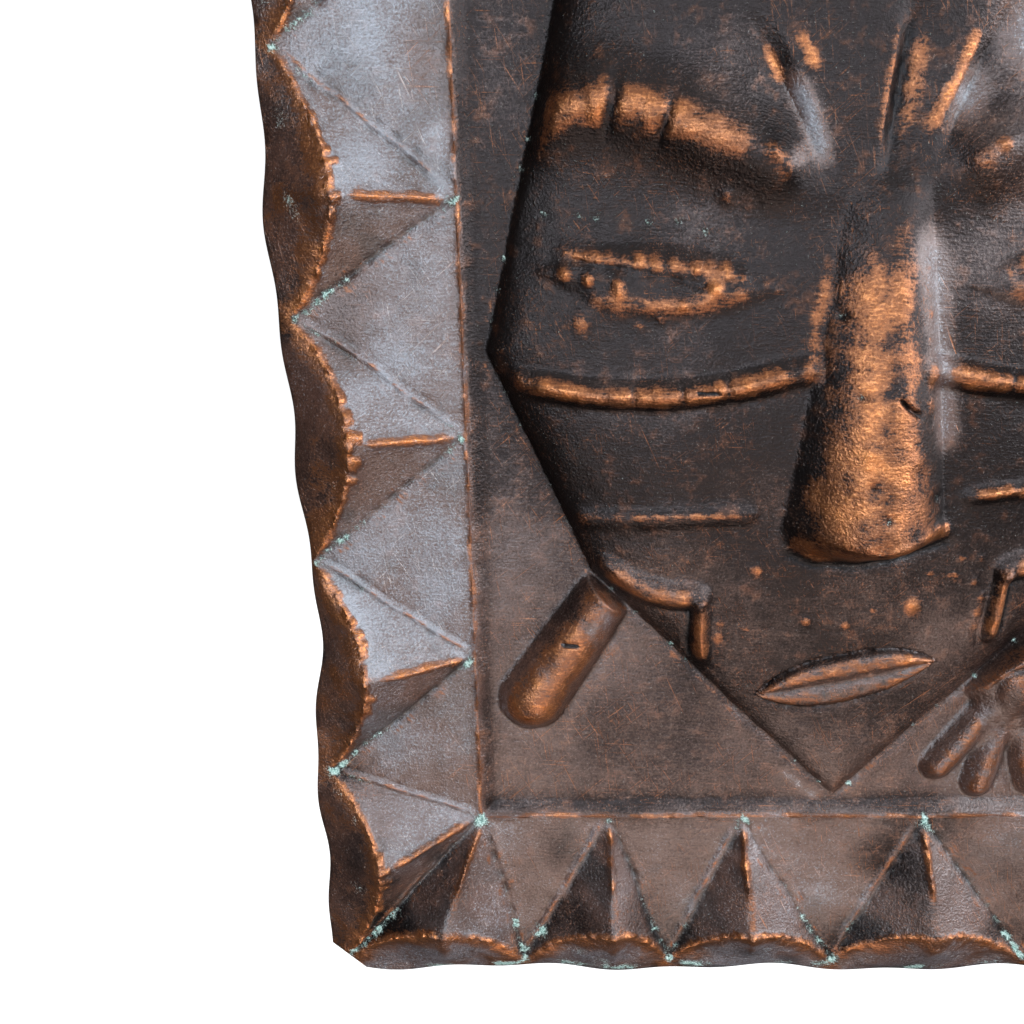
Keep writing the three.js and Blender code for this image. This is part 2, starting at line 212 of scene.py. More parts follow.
def plane(u, v, a, b, c):
    """Height at (u, v) of the plane through three points (u, v, height)."""
    bu, bv, bh = (b[i] - a[i] for i in range(3))
    cu, cv, ch = (c[i] - a[i] for i in range(3))
    pu, pv = u - a[0], v - a[1]
    return a[2] + ((pu * cv - pv * cu) * bh + (bu * pv - bv * pu) * ch) / (bu * cv - bv * cu)


class Row:
    """A row of teeth: u runs along it and v outwards from the panel's line."""

    def __init__(self, width, start, table, bow):
        self.width, self.bow = width, bow
        self.out, self.crest_out = NOTCH_OUT * width, CREST_OUT * width
        feet = [start] + [to for _, _, to in table]
        self.teeth = [(feet[i], to, apex, crest) for i, (apex, crest, to) in enumerate(table)]

    def brink(self, u):
        """How far out the teeth turn down into the skirt."""
        out = np.full(np.shape(u), float(self.out))
        for start, to, _, crest in self.teeth:
            away = np.where(u < crest, (crest - u) / (crest - start), (u - crest) / (to - crest))
            here = mix(self.crest_out, self.out, np.clip(away, 0, 1) ** CREST_CURVE)
            out = np.where((u >= start) & (u <= to), here, out)
        return out

    def edge(self, u):
        """How far out the sheet's edge is. It waves, and a bowed row is drawn in."""
        bow = 1 - 3.2 * hump(u - 58, 35) if self.bow else 0
        return self.width + bow + 0.7 * np.sin(u / 9.5) + 0.5 * np.sin(u / 4.3 + 1)

    def faces(self, u, v):
        """The two planes of each tooth, which meet in its crest. The one at lower u comes first."""
        for start, to, apex, crest in self.teeth:
            tip = (apex, 0, LINE_HIGH)
            end = (crest, self.crest_out, TOOTH_HIGH)
            yield [plane(u, v, tip, (notch, self.out, NOTCH_HIGH), end) for notch in (start, to)]

    def flats(self, v):
        """The flat triangles between the teeth."""
        return mix(LINE_HIGH, NOTCH_HIGH, v / self.out)

    def roofs(self, u, v):
        """The teeth and the flats, carried on past the brink."""
        top = self.flats(v)
        for low, high in self.faces(u, v):
            top = smooth_max(top, smooth_min(low, high, CREST_SOFT), FOLD_SOFT)
        return top

    def facing(self, u, v):
        """-1 on a tooth's first face, 1 on its second, and 0 between teeth."""
        way = np.zeros(np.shape(u))
        for low, high in self.faces(u, v):
            way = np.where(np.minimum(low, high) > self.flats(v), np.where(low < high, -1, 1), way)
        return way

    def height(self, u, v):
        brink = self.brink(u)
        down = np.clip((v - brink) / (self.edge(u) - brink), 0, 1)
        return self.roofs(u, np.minimum(v, brink)) * (1 - down**SKIRT_CURVE)


SIDE_ROW = Row(SIDE_BORDER, -NOTCH_OUT * END_BORDER, SIDE_TEETH, bow=True)
END_ROW = Row(END_BORDER, -PANEL_HALF - NOTCH_OUT * SIDE_BORDER, END_TEETH, bow=False)

sideways = np.abs(X) - PANEL_HALF  # how far outside the panel's line
endways = np.maximum(-Z, Z - PANEL_TALL)
on_side = sideways / SIDE_BORDER > endways / END_BORDER
margin = -np.maximum(sideways, endways)  # how far inside the panel's line


def on_rows(of_row):
    """of_row(row, u, v) over the grid, for each place's own row of teeth."""
    return np.where(on_side, of_row(SIDE_ROW, Z, sideways), of_row(END_ROW, X, endways))


facing = on_rows(Row.facing)
to_edge = on_rows(lambda row, u, v: row.edge(u) - v)
skirt = ease(0, 2, on_rows(lambda row, u, v: v - row.brink(u)))  # 1 on the skirt, 0 on the teeth


def inside_edge(spare):
    """Whether grid points are on the sheet, at least `spare` from its edge."""
    past_corner = sideways - SIDE_BORDER + endways - END_BORDER
    return (to_edge > spare) & (past_corner < -CORNER_CUT - 1.4 * spare)


# ---- the mask

SKEW = 0.09  # slope of the lower face, which is set askew


def skewed_by(x, z):
    """How far up the skew moves a place: not at all above the cheeks."""
    return SKEW * x * (1 - ease(70, 100, z))


level = Z - skewed_by(X, Z)
reach = np.abs(X)


def mask_inset():
    """How far inside the mask's outline; negative outside."""
    inset = np.full(X.shape, 1e9)
    for (ax, az), (bx, bz) in zip(OUTLINE, OUTLINE[1:]):
        across = (bx - ax) * (Z - az) - (bz - az) * (reach - ax)
        inset = np.minimum(inset, across / hypot(bx - ax, bz - az))
    return inset


inset = mask_inset()

BROW = arc(15, 66, lambda x: 158 - 16 * abs((54 - x) / 39) ** 1.35)
BROW_ABOVE, BROW_BELOW, BROW_HIGH = 6.82, 5.89, 4.4  # its bell's width each way, its height
UPPER_CHEEK = arc(13, 71, lambda x: 101 + 5 * ((x - 45) / 33) ** 2)
LOWER_CHEEK = arc(23, 59, lambda x: 77 + 0.04 * (x - 23), 4)
CHEEK_BAR = arc(33, 53, lambda x: 59 + 0.02 * (x - 33) ** 2, 4)
CHEEK_LEG = [(32, 57), (31.2, 43)]
HEADBAND = arc(0, 58, lambda x: 192 - 0.003 * x * x, 6)

# Ridges on the right half: path, distance to the foot, height, and whether the skew moves it.
RIDGES = [
    (UPPER_CHEEK, 3.6, 1.9, False),
    (LOWER_CHEEK, 2.6, 1, True),
    (CHEEK_BAR, 3.8, 2.2, True),
    (CHEEK_LEG, 2.4, 1.8, True),
    (HEADBAND, 5, 2.4, False),
]

# A lens: its middle, half its length, half its height, the slope of its middle line, its bluntness.
EYE = (42, EYE_LINE, 24.5, 7.4, 0.09, 2)
LIPS = (0.5, MOUTH_LINE + 1.6, 19.5, 6.2, 0.22, 2.6)
FAR_OUT = 9  # what `across` is past a lens's tips


def lens(shape, x, z):
    """Across: 0 on the middle line, 1 at the edge. Full: 1 in the middle, 0 at the tips."""
    cx, cz, half, tall, slope, blunt = shape
    open_ = np.clip(1 - np.abs((x - cx) / half) ** blunt, 1e-3, 1)
    across = np.abs(z - cz - slope * (x - cx)) / (tall * open_)
    return np.where(np.abs(x - cx) < half, across, FAR_OUT), open_**0.6


RIM_HIGH, RIM_WIDE = (2, 4.4), 3.2  # the step at the mask's outline, lower round the chin
DOME_HIGH, DOME_HALF, DOME_RISE = 6, 88, 24


def mask_base():
    rim = mix(*RIM_HIGH, ease(15, 90, Z)) * (1 - np.exp(-inset / RIM_WIDE))
    dome = DOME_HIGH * (1 - (X / DOME_HALF) ** 2) * ease(-5, 95, Z)
    return rim + dome * (1 - np.exp(-inset / DOME_RISE))


EYEBALL_HIGH = 1.1
SOCKET = (42, 137, 30, 13, 2.4)  # its middle, half its width and height, and its depth


def eye_height():
    cx, cz, half, tall, deep = SOCKET
    socket = deep * np.exp(-(((reach - cx) / half) ** 2) - ((Z - cz) / tall) ** 2)
    across, full = lens(EYE, reach, Z)
    return np.where(across < 1, EYEBALL_HIGH * full * np.clip(1 - across**2, 0, 1), 0) - socket


# The nose is a wedge, whose crest runs right of its middle.
NOSE_CREST, NOSE_TOP = 4, 146
NOSE_LEFT, NOSE_RIGHT, NOSE_HIGH = (9.5, 21), (5, 15), (2, 11.5)  # at the top and at the base


def nose_height():
    out = X - NOSE_CREST
    down = np.clip((NOSE_TOP - Z) / (NOSE_TOP - NOSE_BASE), 0, 1)
    across = np.abs(out) / np.where(out < 0, mix(*NOSE_LEFT, down), mix(*NOSE_RIGHT, down))
    foot = NOSE_BASE + 2.2 + 5 * ((out + 2.5) / 18) ** 2
    crest = mix(*NOSE_HIGH, down**1.2) * ease(foot - 2, foot + 4, Z)
    return crest * (1 - np.clip(across, 0, 1) ** 1.7) * ease(0, 0.12, down)


LIPS_HIGH, SLIT_DEEP, SLIT_WIDE = 1.9, 0.8, 0.22


def mouth_height():
    across, full = lens(LIPS, X, Z)
    lips = LIPS_HIGH * (1 - across**6) - SLIT_DEEP * hump(across, SLIT_WIDE)
    return np.where(across < 1, full**0.5 * lips, 0)


# Furrows fan out from the bridge of the nose: path, depth, and each slope's width.
FURROWS = [
    ([(-8.5, 140), (-26, 174)], 2.2, 7, 3.2),
    ([(0.6, 141), (4.5, 175)], 2.8, 2.4, 8),
    ([(10, 144), (22, 174)], 2, 3, 7),
]


def furrow_height():
    top = np.zeros(X.shape)
    for path, depth, left, right in FURROWS:
        distance, along, side = near(path)
        fade = np.sin(pi * along / length_of(path)).clip(0)
        top -= depth * fade * np.clip(1 - distance / np.where(side > 0, left, right), 0, 1)
    return top


# ---- the drops beside the jaw: axis, radius at each end, height

PLAIN_DROP = ([(-52.6, 55.2), (-69, 30)], (6, 7.8), 6.2)
BULB = ([(49, 46), (40.5, 35.5)], (10.5, 13), 6.5)
STRANDS = [([(39, 33), tip], (4.6, 3.6), 3.6) for tip in [(23.5, 12), (33, 7.5), (45, 8)]]
DROPS = [PLAIN_DROP, BULB, *STRANDS]
JOIN = 4  # the higher, the sharper the valley where drops meet


def drop_height():
    top = np.zeros(X.shape)
    for axis, radii, high in DROPS:
        distance, along, _ = near(axis)
        radius = mix(*radii, np.sqrt(along / length_of(axis)))
        drop = high * (1 - np.minimum(1, distance / radius) ** 2.1)
        top = (top**JOIN + drop**JOIN) ** (1 / JOIN)
    return blur(top, 0.7) * ease(0, 2, -inset)


def relief():
    """The height of the beaten relief over the whole grid, before any chasing."""
    distance, along, side = near(BROW, reach)
    brow = hump(distance, np.where(side > 0, BROW_ABOVE, BROW_BELOW)) * ease(-3, 5, along)
    features = BROW_HIGH * blur(brow, 1.2)
    for path, foot, high, skewed in RIDGES:
        features += high * swell(near(path, reach, level if skewed else Z)[0], foot)
    features += eye_height() + nose_height() + mouth_height() + furrow_height()
    line = LINE_HIGH * (1 - ease(-1, LINE_FALL + 1.4, margin))
    mask = mask_base() + ease(0, 5, inset) * features
    panel = np.where(inset >= 0, mask, np.maximum(line, drop_height()))
    return np.where(margin > 0, panel, on_rows(Row.height))


# ---- chasing: what the tools left. Layers are fields over the grid: added height, and marks. Some marks are painted light: painted shade in hollows and on shaded faces, and painted highlights and sheen on lit slopes.

# The darkening mark holds dirt in the chased lines and painted shade in hollows. The paling mark
# holds paler patina, painted highlights and sheen, and painted shade where it is below 0.
layers = {name: np.zeros(X.shape) for name in ("rise", "worn", "green", "dark", "pale")}
WANDER = 0.22 * noise(7, 3)  # how far a tool strays from its line


def beats(along, pitch, seed, width=0.34):
    """Uneven blows along a path: up to 1 on each blow and near 0 between them."""
    rng = np.random.default_rng(seed)
    count = int(np.max(along, initial=0) / pitch) + 3
    at = (np.arange(count) + 0.5 + rng.uniform(-0.25, 0.25, count)) * pitch
    force = rng.uniform(0.25, 1, count)
    nearest = (along / pitch).astype(int)
    best = np.zeros(np.shape(along))
    for shift in (-1, 0, 1):
        k = np.clip(nearest + shift, 0, count - 1)
        best = np.maximum(best, force[k] * hump(along - at[k], width * pitch))
    return best


def add(spot, value, amounts):
    """Adds amount * value to each layer named, in one part of the grid."""
    for name, amount in amounts.items():
        layers[name][spot] += amount * value


def stroke(path, span, shape, **amounts):
    """Adds shape(off, along) near a path; off is how far left of it, negative to its right."""
    spot = window(path, span)
    distance, along, side = near(path, X[spot], Z[spot])
    value = np.where(distance < span, shape(distance * side + WANDER[spot], along), 0)
    add(spot, value, amounts)


def line(path, wide, pitch=0, seed=0, shift=0, fade=1.5, **amounts):
    """A line struck in blows at that pitch, or drawn evenly if there is none.

    It runs `shift` to the left of the path and fades over `fade` at both ends.
    """
    length = length_of(path)

    def shape(off, along):
        blows = 0.25 + 0.75 * beats(along, pitch, seed) if pitch else 1
        struck = hump(off - shift, wide) * blows
        return struck * ease(0, fade, along) * ease(0, fade, length - along)

    stroke(path, abs(shift) + 3 * wide + 1, shape, **amounts)


def dot(x, z, radius, **amounts):
    spot = window([(x, z)], 3 * radius)
    add(spot, hump(np.hypot(X[spot] - x, Z[spot] - z), radius), amounts)


def both(path, skewed=False):
    """The path on the right half and its mirror image, each with the sign of shifts along it."""
    pair = [(path, 1), ([(-x, z) for x, z in path], -1)]
    if not skewed:
        return pair
    return [([(x, z + float(skewed_by(x, z))) for x, z in half], way) for half, way in pair]


def line_both(path, wide, pitch=0, shift=0, **how):
    for half, way in both(path):
        line(half, wide, pitch, shift=shift * way, **how)


def crumbs_both(path, pitch, seed, width, shift, green):
    """Crumbs of verdigris along a line and its mirror image."""

    def shape(off, along):
        return hump(off - shift, 0.6) * beats(along, pitch, seed, width) ** 2

    for half, _ in both(path):
        stroke(half, 3, shape, green=green)


def left_of(a, b, point):
    """1 if the point is left of the line from a to b, else -1."""
    return 1 if (b[0] - a[0]) * (point[1] - a[1]) > (b[1] - a[1]) * (point[0] - a[0]) else -1


# The four rows, each with where a place (u, v) on it lies on the sheet.
SIDES = [
    (SIDE_ROW, lambda u, v: (-PANEL_HALF - v, u)),
    (SIDE_ROW, lambda u, v: (PANEL_HALF + v, u)),
    (END_ROW, lambda u, v: (u, -v)),
    (END_ROW, lambda u, v: (u, PANEL_TALL + v)),
]
# How a row's teeth are worked: the crest's welt (thickness, end, wear), the wear of the brink's
# blows and line, the longest lump, and verdigris at the tip.
TOOTH_WORK = {
    SIDE_ROW: (0.95, 0.88, 0.8, 0.75, 0.5, 3.8, 0.24),
    END_ROW: (0.6, 0.7, 0.36, 0.5, 0.35, 1.6, 0.84),
}


def chase_fold(top, foot, crest_end, seed, welted):
    """The valley beside a tooth, with a raised welt or else a groove."""
    tooth = left_of(top, foot, crest_end)
    fold = [top, foot]
    length = length_of(fold)
    if welted:
        welt = -0.9 * tooth
        line(fold, 0.6, shift=welt, fade=6, rise=0.36, pale=0.4, worn=0.15)
        line(fold, 0.4, 5.2, seed=seed, shift=welt, fade=6, rise=0.15, worn=0.45)
        for shift in (0.3 * tooth, -2.1 * tooth):
            line(fold, 0.4, 4.6, seed=seed + 1, shift=shift, fade=3, rise=-0.3, dark=0.3)
    else:
        line(fold, 0.5, 4.6, seed=seed, rise=-0.65, dark=0.45)
        rubbed = {"rise": 0.2, "worn": 0.55, "pale": 0.2}
        for k, shift in enumerate((-1.2, -2.3, 1.3)):
            line(fold, 0.35, 8, seed=seed + k, shift=shift * tooth, fade=4, **rubbed)

    def specks(off, along):
        close = ease(0.45 * length, 0.95 * length, along) + 0.9 * (1 - ease(1, 6, along))
        return hump(off + 0.3 * tooth, 0.8) * (0.3 + 0.9 * beats(along, 1.9, seed)) * (0.15 + close)

    # Darker patina beside the fold, more of it towards the notch.
    def darker_near_fold(off, along):
        return np.exp(-np.abs(off) / 2.2) * ease(0.1 * length, length, along)

    stroke(fold, 3, specks, green=0.5 if welted else 1.05)
    stroke(fold, 9, darker_near_fold, pale=-0.28)


def chase_lumps(brink, inner, seed, longest):
    """Short ridges that run in from the brink, longest in the middle."""
    pitch, stray, shortest = 2.4, 0.8, 0.8
    rng = np.random.default_rng(seed)
    steps = np.hypot(*np.diff(brink, axis=0).T)
    along = np.concatenate([[0], np.cumsum(steps)])
    total = along[-1]
    for at in np.arange(0.14 * total, 0.88 * total, pitch):
        at += rng.uniform(-stray, stray)
        foot, ahead = (np.array([np.interp(s, along, c) for c in brink.T]) for s in (at, at + 0.5))
        forward = (ahead - foot) / max(np.hypot(*(ahead - foot)), 1e-6)
        inward = np.array([-forward[1], forward[0]]) * inner + forward * rng.uniform(-0.3, 0.3)
        far = rng.uniform(0.2, 1) * mix(shortest, longest, hump(at / total - 0.5, 0.22))
        line([foot, foot + inward * far], rng.uniform(0.75, 1.2), fade=0.5, rise=0.9, worn=0.95)


def chase_tooth(row, place, tooth, seed):
    start, to, apex, crest = tooth
    thick, down_to, welt_worn, blows_worn, brink_worn, longest, tip_green = TOOTH_WORK[row]
    top, end = place(apex, 0.6), place(crest, row.crest_out)
    for k, notch in enumerate((start, to)):
        chase_fold(top, place(notch, row.out), end, seed + 3 * k, (k == 1) != (row is END_ROW))
    welt = [mix(np.array(top), np.array(end), share) for share in (0.06, down_to)]
    line(welt, thick, fade=4, rise=0.7, worn=welt_worn, pale=0.3)
    line(welt, 0.6 * thick, 2.6, seed=seed, fade=4, rise=0.35, worn=0.35)
    dot(*place(apex, 1.3), 1.25, green=tip_green, dark=0.3)
    spread = np.linspace(start, to, 25)
    brink = [place(u, v) for u, v in zip(spread, row.brink(spread))]
    inner = left_of(brink[0], brink[-1], top)
    blows = {"rise": 0.45, "worn": blows_worn}
    line(brink, 1, 3.1, seed=seed + 1, shift=0.2 * inner, fade=5, **blows)
    line(brink, 0.7, fade=5, rise=0.1, worn=brink_worn, pale=0.3)
    chase_lumps(np.array(brink), inner, seed + 2, longest)

    def on_skirt(off, along):
        return np.exp(-np.abs(off * inner) / 2.4) * (off * inner < 0)

    stroke(brink, 9, on_skirt, worn=0.7)


def chase_border():
    for i, (row, place) in enumerate(SIDES):
        for k, tooth in enumerate(row.teeth):
            chase_tooth(row, place, tooth, seed=100 * i + 10 * k)
    top = PANEL_TALL
    corners = [(-PANEL_HALF, 0), (PANEL_HALF, 0), (PANEL_HALF, top), (-PANEL_HALF, top)]
    for edge in zip(corners, corners[1:] + corners[:1]):
        line(edge, 0.4, 7, seed=5, fade=1, rise=0.35, worn=0.34, pale=0.2)
        line(edge, 0.33, fade=1, worn=0.16, rise=0.15, pale=0.5)
        # Painted shade on the slope just inside the panel's line, strongest along the bottom.
        line(edge, 2, shift=2.6, pale=-0.22 if edge[0][1] == edge[1][1] == 0 else -0.1)
    foot = [(u, 1.3 - END_BORDER - 0.7 * np.sin(u / 9.5)) for u in np.linspace(-106, 106, 54)]
    stroke(foot, 3.5, lambda off, along: hump(off, 1.2) * beats(along, 17, 7, 0.26), green=1.3)
    dot(-69.5, -32.5, 1.7, green=1.4)


def chase_outline():
    line_both(OUTLINE, 0.5, 5.2, seed=11, shift=0.3, rise=-0.5, dark=0.3)
    line_both(OUTLINE, 1.3, shift=-1.8, rise=0.3, worn=0.04)
    line_both(OUTLINE, 0.35, 6, seed=12, shift=-0.9, worn=0.4)
    crumbs_both(OUTLINE, 7.5, seed=13, width=0.1, shift=0, green=1.1)
    tip = [(-13, 11), (-2.5, 2.6)]
    line(tip, 0.9, 2.4, seed=14, shift=0.6, fade=3, pale=0.9, rise=0.3, worn=0.2)


def chase_brow():
    narrow_gap, wide_gap = 28.8, 39.5  # how far along it they are
    for path, way in both(BROW):
        length = length_of(path)

        def polish(off, along, way=way, length=length):
            rough = 1 - 0.9 * hump(along - wide_gap, 1.3) - 0.6 * hump(along - narrow_gap, 1)
            ends = ease(9, 19, along) * ease(1, 12, length - along)
            middle = 1.2 * hump(along - 22, 9)
            return hump(off * way - middle, 3.9) * rough * ends

        stroke(path, 14, polish, worn=0.56)
        gaps = ((wide_gap, 1.3, 1.3), (narrow_gap, 0.8, 0.9), (45, 0.8, 0.4), (34, 0.7, 0.35))
        for at, wide, deep in gaps:

            def gap(off, along, at=at, wide=wide):
                return hump(along - at, wide) * hump(off, 5)

            stroke(path, 10, gap, rise=-deep, dark=0.5 * deep)
        line(path, 2.2, 6, seed=21, shift=2 * way, rise=0.35)


def chase_eye():
    across, full = lens(EYE, reach, Z)
    rim = np.abs(across - 1) * EYE[3] * full
    layers["dark"] += 0.06 * hump(rim, 0.8) * (across < FAR_OUT)
    upper = [(63, 130.4), (52, 129.2), (37, 127.4), (24, 124.6)]
    slit = [(60, 128.4), (49, 126.8), (39, 124.6), (34, 123.4), (21, 123)]
    lower = [(58, 121.6), (50, 119.2), (41, 118.6), (31, 119.8), (22, 122.6)]
    groove = [(66, 137.2), (59, 136.8), (54, 135.8), (46, 134.8), (38, 134.4), (29, 132)]
    line_both(upper, 1.6, 3.3, seed=31, fade=4, rise=1, worn=0.7)
    line_both(upper, 0.9, 2.1, seed=32, shift=0.9, rise=0.4, worn=0.35)
    line_both(slit, 0.5, 6, seed=35, rise=-0.6, dark=0.6)
    line_both(lower, 2.3, fade=7, rise=0.5, worn=0.3)
    line_both(lower, 2.1, 5.6, seed=33, fade=5, rise=0.4, worn=0.32)
    line_both(groove, 0.6, 5, seed=34, rise=-0.35, dark=0.5)
    crumbs_both(groove, 5, seed=34, width=0.2, shift=0.4, green=0.8)
    for x, z, radius, high, rubbed in (
        (60.5, 125.8, 1.3, 0.8, 0.9), (56, 124.6, 1.1, 0.8, 0.9), (49.9, 123.6, 1.1, 0.7, 0.8),
        (49.9, 122, 1.1, 0.7, 0.8), (37.2, 119, 1, 0.6, 0.7), (31, 122.6, 1.4, 1, 1.1),
        (57.4, 116, 1.9, 0.7, 0.6), (45.6, 115.2, 0.9, 0.4, 0.4), (41.4, 116.2, 0.9, 0.4, 0.4),
        (28.9, 139.7, 1.4, 0.8, 0.25), (21.3, 147.9, 1.3, 0.8, 0.1),
    ):
        for way in (-1, 1):
            dot(way * x, z, radius, rise=high, worn=rubbed)


def chase_cheeks():
    gaps_at = (15.5, 24.5, 34.5)
    for path, way in both(UPPER_CHEEK):
        length = length_of(path)

        def lumps(off, along, length=length):
            gaps = sum(hump(along - at, 0.9) for at in gaps_at)
            ends = ease(1, 8, along) * ease(2, 9, length - along)
            return swell(off, 3.6) * (1 - np.clip(gaps, 0, 1)) * ends

        stroke(path, 5, lumps, rise=0.6, worn=0.3)
        line(path, 1.7, 3.1, seed=41, shift=0.3 * way, fade=8, rise=0.6, worn=0.45)
        line(path, 0.5, 8, seed=42, shift=-1.4 * way, fade=8, worn=0.6)
        line(path, 0.8, 9.3, seed=43, shift=-3 * way, rise=-0.25, dark=0.3)
    line([(-34.6, 101.6), (-29.2, 101.9)], 0.35, fade=0.8, rise=-0.7, dark=1.5, worn=-0.8)
    (right, _), (left, _) = both(LOWER_CHEEK, skewed=True)
    line(right, 1.3, 3, seed=44, rise=0.6, worn=0.7)
    line(right, 1.2, rise=0.3, worn=0.2)
    line(left, 0.7, 4, seed=45, shift=-0.6, fade=5, rise=0.25, worn=0.36)
    for path, way in both(CHEEK_BAR, skewed=True):
        line(path, 2.5, 5, seed=49, fade=3, worn=0.6, rise=0.3)
        line(path, 0.7, shift=-1.5 * way, fade=3, rise=0.3, worn=0.6)
        line(path, 0.9, 3, seed=46, shift=-3.6 * way, rise=-0.3, dark=0.6)
    for path, way in both(CHEEK_LEG, skewed=True):
        line(path, 1.5, rise=0.5, worn=0.45)
        line(path, 1.3, 3, seed=47, rise=0.3, worn=0.4)
        line(path, 0.7, shift=2.3 * way, rise=-0.5, dark=0.8)
        beside = [(x - 4 * way, z - 3) for x, z in path]
        line(beside, 1, 3.4, seed=48, rise=0.6, worn=0.7)


def chase_nose():
    high, low = 131, 76  # where the rubbed crest starts and where it is widest
    down = (high - Z) / (high - low)
    middle = mix(1.8, 3, np.clip(down, 0, 1)) - 3 * ease(0.65, 1, down)
    wide = mix(5, 6.3, np.clip(down, 0, 1)) + 7.5 * ease(0.6, 1, down)
    crest = np.exp(-(((X - middle) / wide) ** 4)) * ease(-0.1, 0.16, down) * (Z > 70)
    layers["worn"] += (0.62 + 0.22 * noise(5, 54)) * crest * ease(68, 73, Z)
    flank = np.exp(-(((X + 5) / 5) ** 4)) * ease(70, 78, Z) * (1 - ease(118, 132, Z))
    layers["worn"] += 0.34 * flank
    # Painted sheen: a pale bluish streak down the nose's right flank.
    line([(8.1, 137), (11.3, 123), (12.8, 111), (15.6, 95), (17, 84)], 3, fade=10, pale=0.8)
    line([(-9.4, 131), (-12.3, 99)], 1.25, fade=9, rise=0.2, worn=0.42)
    line([(-7.4, 131), (-9.6, 99)], 0.5, fade=5, rise=-0.25, dark=0.5)
    lip = [(-15, 69.8), (-8, 66.9), (0, 66.6), (10, 68.6), (20, 72.4)]
    line(lip, 1.7, fade=3, rise=0.9, worn=0.8)
    line(lip, 0.9, 3.1, seed=51, shift=0.8, fade=3, rise=0.3, worn=0.5)
    line(lip, 0.9, shift=-3, fade=3, rise=-0.5, dark=1)
    line(lip, 0.6, 4, seed=52, shift=3.2, fade=4, rise=-0.35, dark=0.35)
    line([(4.2, 101), (6.5, 98.6), (9, 96.6)], 0.45, fade=1, rise=-0.9, dark=1.5)
    edge = [(9.6, 127), (10.6, 116), (10.8, 104), (11.5, 96)]
    line(edge, 0.9, 4.2, seed=53, rise=0.45, worn=0.5)
    for x, z, radius, high in (
        (-6.4, 116.6, 0.9, -0.7), (-2.6, 101, 0.8, -0.6), (0.2, 83, 0.8, -0.6), (15, 79, 0.9, -0.7),
        (3.3, 76.5, 1, -0.7), (16.2, 73, 1, 0.7), (-1, 90, 1.3, 0.35), (9, 88, 1.4, 0.35),
        (4, 121, 1.6, 0.3), (2, 110, 1.5, 0.3),
    ):
        dot(x, z, radius, rise=high, dark=max(0, -1.6 * high), green=max(0, -0.5 * high))


def chase_furrows():
    for path, wide, wear in (
        ([(-23.2, 168), (-18.2, 158.5)], 1, 0.9),
        ([(-17.6, 171), (-12.4, 160.5)], 1, 0.8),
        ([(6, 170), (3.4, 147)], 1.7, 0.45),
        ([(16.4, 169), (7.4, 148.5)], 1.1, 1.1),
    ):
        line(path, wide, fade=4, worn=wear, rise=0.25)
    for (path, depth, _, _), wide, soot_and_shade in zip(FURROWS, (0.7, 1.6, 0.8), (0.15, 1.1, 0.3)):
        line(path, wide, 6, seed=61, fade=5, rise=-0.15 * depth, dark=soot_and_shade)
    # Painted sheen and highlights: pale streaks beside the furrows.
    flank = [(-19.6, 164), (-14.8, 155), (-9.8, 142.4)]
    line(flank, 2, shift=0.4, fade=8, pale=1.2, rise=0.4)
    line([(17, 164), (12.6, 150)], 3.2, fade=9, pale=1.1)
    line([(31, 178), (27, 158)], 6, fade=9, pale=1)
    line([(-13, 146.5), (-19, 147.5)], 2, fade=3, pale=0.6)


def chase_mouth():
    across, full = lens(LIPS, X, Z)
    cx, cz, half, tall, slope, blunt = LIPS
    inside = across < 1
    layers["worn"] += 0.12 * inside * ease(1, 0.8, across)
    layers["pale"] += 0.24 * inside * ease(1, 0.7, across)
    rim = np.abs(across - 1) * tall * full
    layers["rise"] -= 0.35 * hump(rim, 0.6) * (across < FAR_OUT)
    layers["dark"] += 0.2 * hump(rim, 0.6) * (across < FAR_OUT)

    def lip_line(share, start=-0.86, end=0.9):
        """A curve through the lens, `share` of the way from its middle line to its upper edge."""

        def curve(x):
            return cz + slope * (x - cx) + share * tall * (1 - abs((x - cx) / half) ** blunt)

        return arc(cx + start * half, cx + end * half, curve)

    line(lip_line(0.42), 0.6, 4, seed=71, rise=0.35, worn=0.25)
    line(lip_line(-0.04, -0.6, 0.8), 0.45, 2.3, seed=72, rise=-0.35, dark=0.7)
    line(lip_line(-0.9, -0.5, 0.7), 0.5, worn=0.3)
    dot(13.7, 40.6, 1, rise=0.6, worn=1.2)
    for x, z in ((-4, 32.4), (4, 33.6), (9, 35.2)):
        dot(x, z, 0.7, rise=-0.4, dark=1.2)


def chase_lower_face():
    for x, z, radius in (
        (-20.1, 62.4, 0.9), (-22, 48, 0.7), (-9, 50, 1), (-0.6, 49, 0.9),
        (5, 52.8, 0.7), (13.2, 53.5, 1.7), (16.3, 61.4, 0.7), (21.5, 60.7, 0.8),
        (26, 58.9, 0.7), (22.7, 64.7, 0.6), (26.7, 64.5, 0.6),
    ):
        dot(x, z, radius, rise=0.5 * radius, worn=0.55 + 0.3 * radius)


